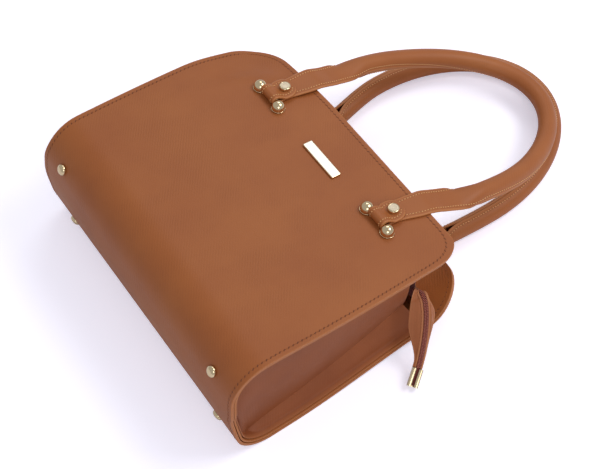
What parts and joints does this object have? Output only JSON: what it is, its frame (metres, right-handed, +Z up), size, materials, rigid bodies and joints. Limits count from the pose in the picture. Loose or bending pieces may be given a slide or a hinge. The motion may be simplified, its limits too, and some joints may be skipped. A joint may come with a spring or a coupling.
{
  "type": "tote handbag",
  "caption": "Structured leather tote lying on its back, with a flat base on studs, folding side gussets, a recessed zip with a loose tail, and two rolled handles on metal bridges.",
  "frame": {"origin": "on the floor, under the middle of the box round the bag and its handles", "axes": "+X across the bag towards the zip's loose tail, +Y from the base to the handles, +Z up, out of the front panel, with the bag lying on its back panel"},
  "size_m": [0.3594, 0.481, 0.1198],
  "materials": {
    "leather": "fine cross-grain, satin",
    "inner_leather": "fine cross-grain, matte",
    "board": "matte stiffening board",
    "lining": "plain woven",
    "tape": "woven zip tape",
    "coil": "satin zip coil",
    "gold": "polished pale gold plating",
    "cord": "twisted filler cord"
  },
  "bodies": {
    "bag": {"back_board": "board", "back_closure_strip": "leather", "back_facing": "inner_leather", "back_left_rod": "gold", "back_left_stud_inner": "gold", "back_left_stud_outer": "gold", "back_right_rod": "gold", "back_right_stud_inner": "gold", "back_right_stud_outer": "gold", "back_zip_chain": "coil", "back_zip_tape": "tape", "base_board": "board", "foot_front_left": "gold", "foot_front_right": "gold", "foot_rear_left": "gold", "foot_rear_right": "gold", "front_board": "board", "front_closure_strip": "leather", "front_facing": "inner_leather", "front_left_rod": "gold", "front_left_stud_inner": "gold", "front_left_stud_outer": "gold", "front_plate": "gold", "front_right_rod": "gold", "front_right_stud_inner": "gold", "front_right_stud_outer": "gold", "front_zip_chain": "coil", "front_zip_tape": "tape", "gusset_left": "inner_leather", "gusset_right": "inner_leather", "lining": "lining", "lining_left": "lining", "lining_right": "lining", "outer_wrap": "leather"},
    "front_handle": {"front_handle": "leather", "front_handle_core": "cord", "front_rivet_left": "gold", "front_rivet_right": "gold"},
    "back_handle": {"back_handle": "leather", "back_handle_core": "cord", "back_rivet_left": "gold", "back_rivet_right": "gold"},
    "slider": {"zip_slider": "gold", "pull_pin": "gold"},
    "pull": {"zip_pull": "gold"},
    "zip_tail": {"tail_tape": "tape", "tail_leaf_front": "leather", "tail_leaf_back": "leather", "tail_chain_front": "coil", "tail_chain_back": "coil", "tail_end_cap": "gold"}
  },
  "joints": [
    {"name": "front_handle_swing", "type": "hinge", "parent": "bag", "child": "front_handle", "pos_m": [-0.01991, -0.03672, 0.10846], "axis": [1, 0, 0], "range_deg": [0, 175]},
    {"name": "back_handle_swing", "type": "hinge", "parent": "bag", "child": "back_handle", "pos_m": [-0.01991, -0.03651, 0.00525], "axis": [1, 0, 0], "range_deg": [-167, 0]},
    {"name": "zip_travel", "type": "slide", "parent": "bag", "child": "slider", "axis": [1, 0, 0], "range_m": [0, 0.236]},
    {"name": "pull_swing", "type": "hinge", "parent": "slider", "child": "pull", "pos_m": [-0.14391, -0.02772, 0.05695], "axis": [0, 0, 1], "range_deg": [0, 170]},
    {"name": "tail_swing", "type": "hinge", "parent": "bag", "child": "zip_tail", "pos_m": [0.11869, -0.03412, 0.05695], "axis": [0, 0, 1], "range_deg": [-22, 60]}
  ]
}
